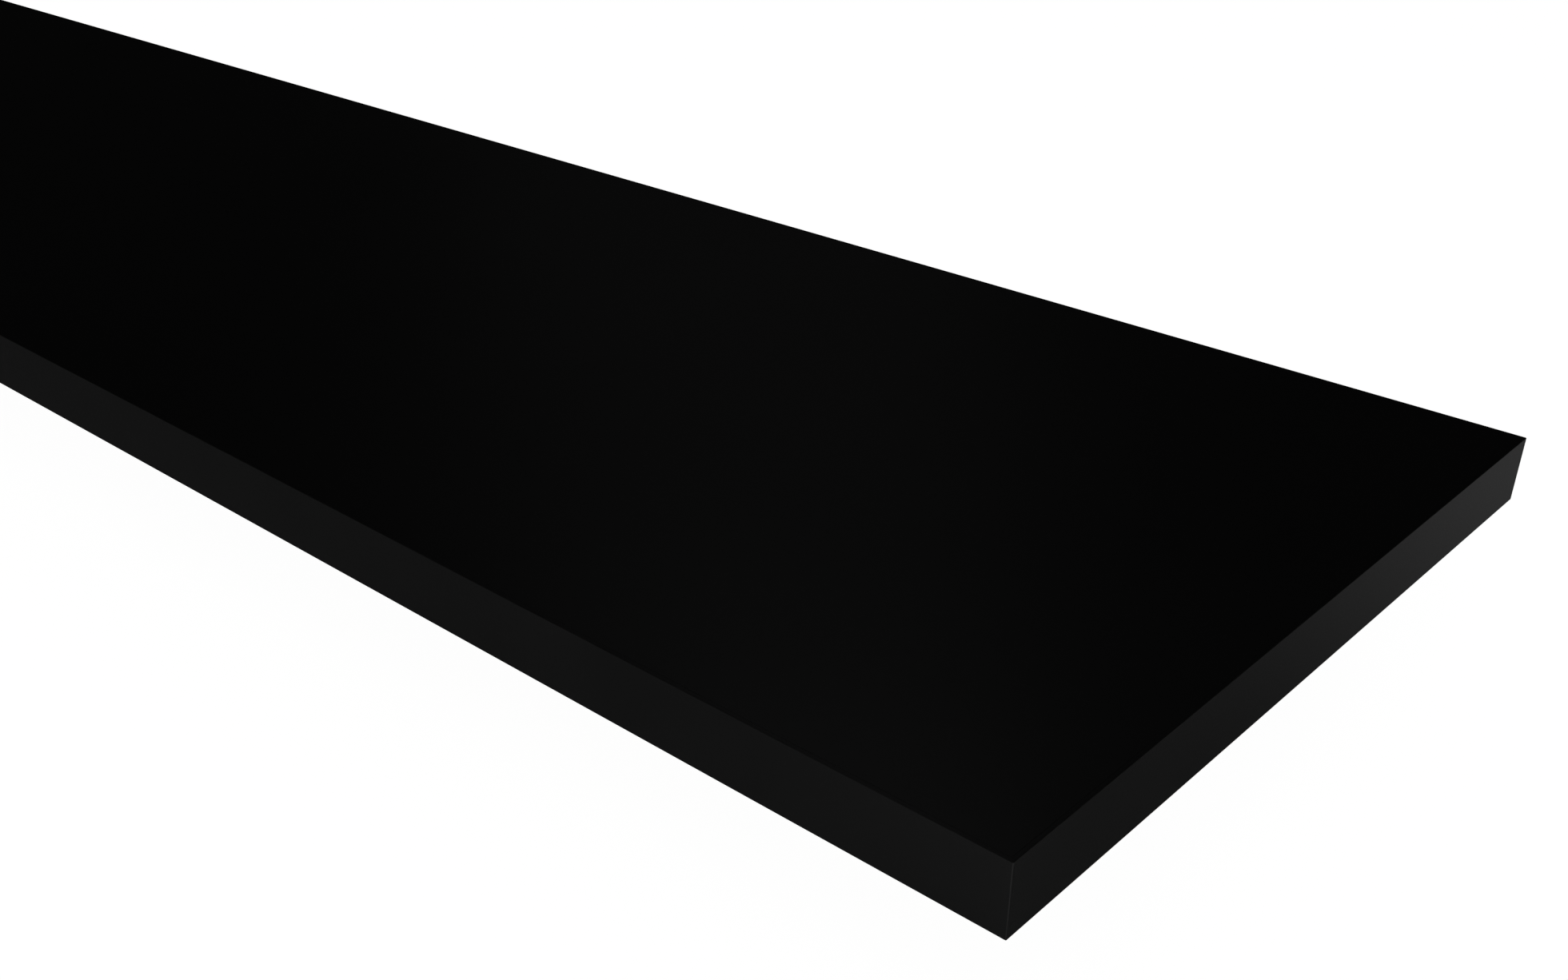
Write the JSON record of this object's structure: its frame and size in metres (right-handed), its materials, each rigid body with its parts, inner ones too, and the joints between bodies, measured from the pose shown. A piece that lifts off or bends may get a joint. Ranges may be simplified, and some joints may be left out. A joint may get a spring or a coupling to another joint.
{
  "type": "kick plate",
  "caption": "Long, flat edge-banded board that closes the gap under base cabinets, with sliding clips on its back that snap onto round cabinet legs.",
  "frame": {"origin": "centre of the footprint, on the surface that the clips rest on while the board lies face up", "axes": "+X along the board's length, +Y across it towards the edge that meets the cabinet, +Z out of its face"},
  "size_m": [0.9, 0.205, 0.0591],
  "materials": {
    "board_core": "pressed wood fibre",
    "black_laminate": "satin black melamine",
    "backing_paper": "matt dark balancing laminate",
    "black_edge_band": "satin black edge band",
    "rail_plastic": "moulded black plastic",
    "clip_plastic": "moulded light grey plastic",
    "screw_steel": "zinc-plated steel"
  },
  "bodies": {
    "board": {"core_board": "board_core", "face_laminate": "black_laminate", "backing_laminate": "backing_paper", "upper_edge_band": "black_edge_band", "lower_edge_band": "black_edge_band", "left_end_band": "black_edge_band", "right_end_band": "black_edge_band", "left_clip_rail": "rail_plastic", "centre_clip_rail": "rail_plastic", "right_clip_rail": "rail_plastic", "rail_screws": "screw_steel"},
    "left_clip": {"left_leg_clip": "clip_plastic"},
    "centre_clip": {"centre_leg_clip": "clip_plastic"},
    "right_clip": {"right_leg_clip": "clip_plastic"}
  },
  "joints": [
    {"name": "left_clip_slide", "type": "slide", "parent": "board", "child": "left_clip", "axis": [1, 0, 0], "range_m": [-0.012, 0.012]},
    {"name": "centre_clip_slide", "type": "slide", "parent": "board", "child": "centre_clip", "axis": [1, 0, 0], "range_m": [-0.012, 0.012]},
    {"name": "right_clip_slide", "type": "slide", "parent": "board", "child": "right_clip", "axis": [1, 0, 0], "range_m": [-0.012, 0.012]}
  ]
}
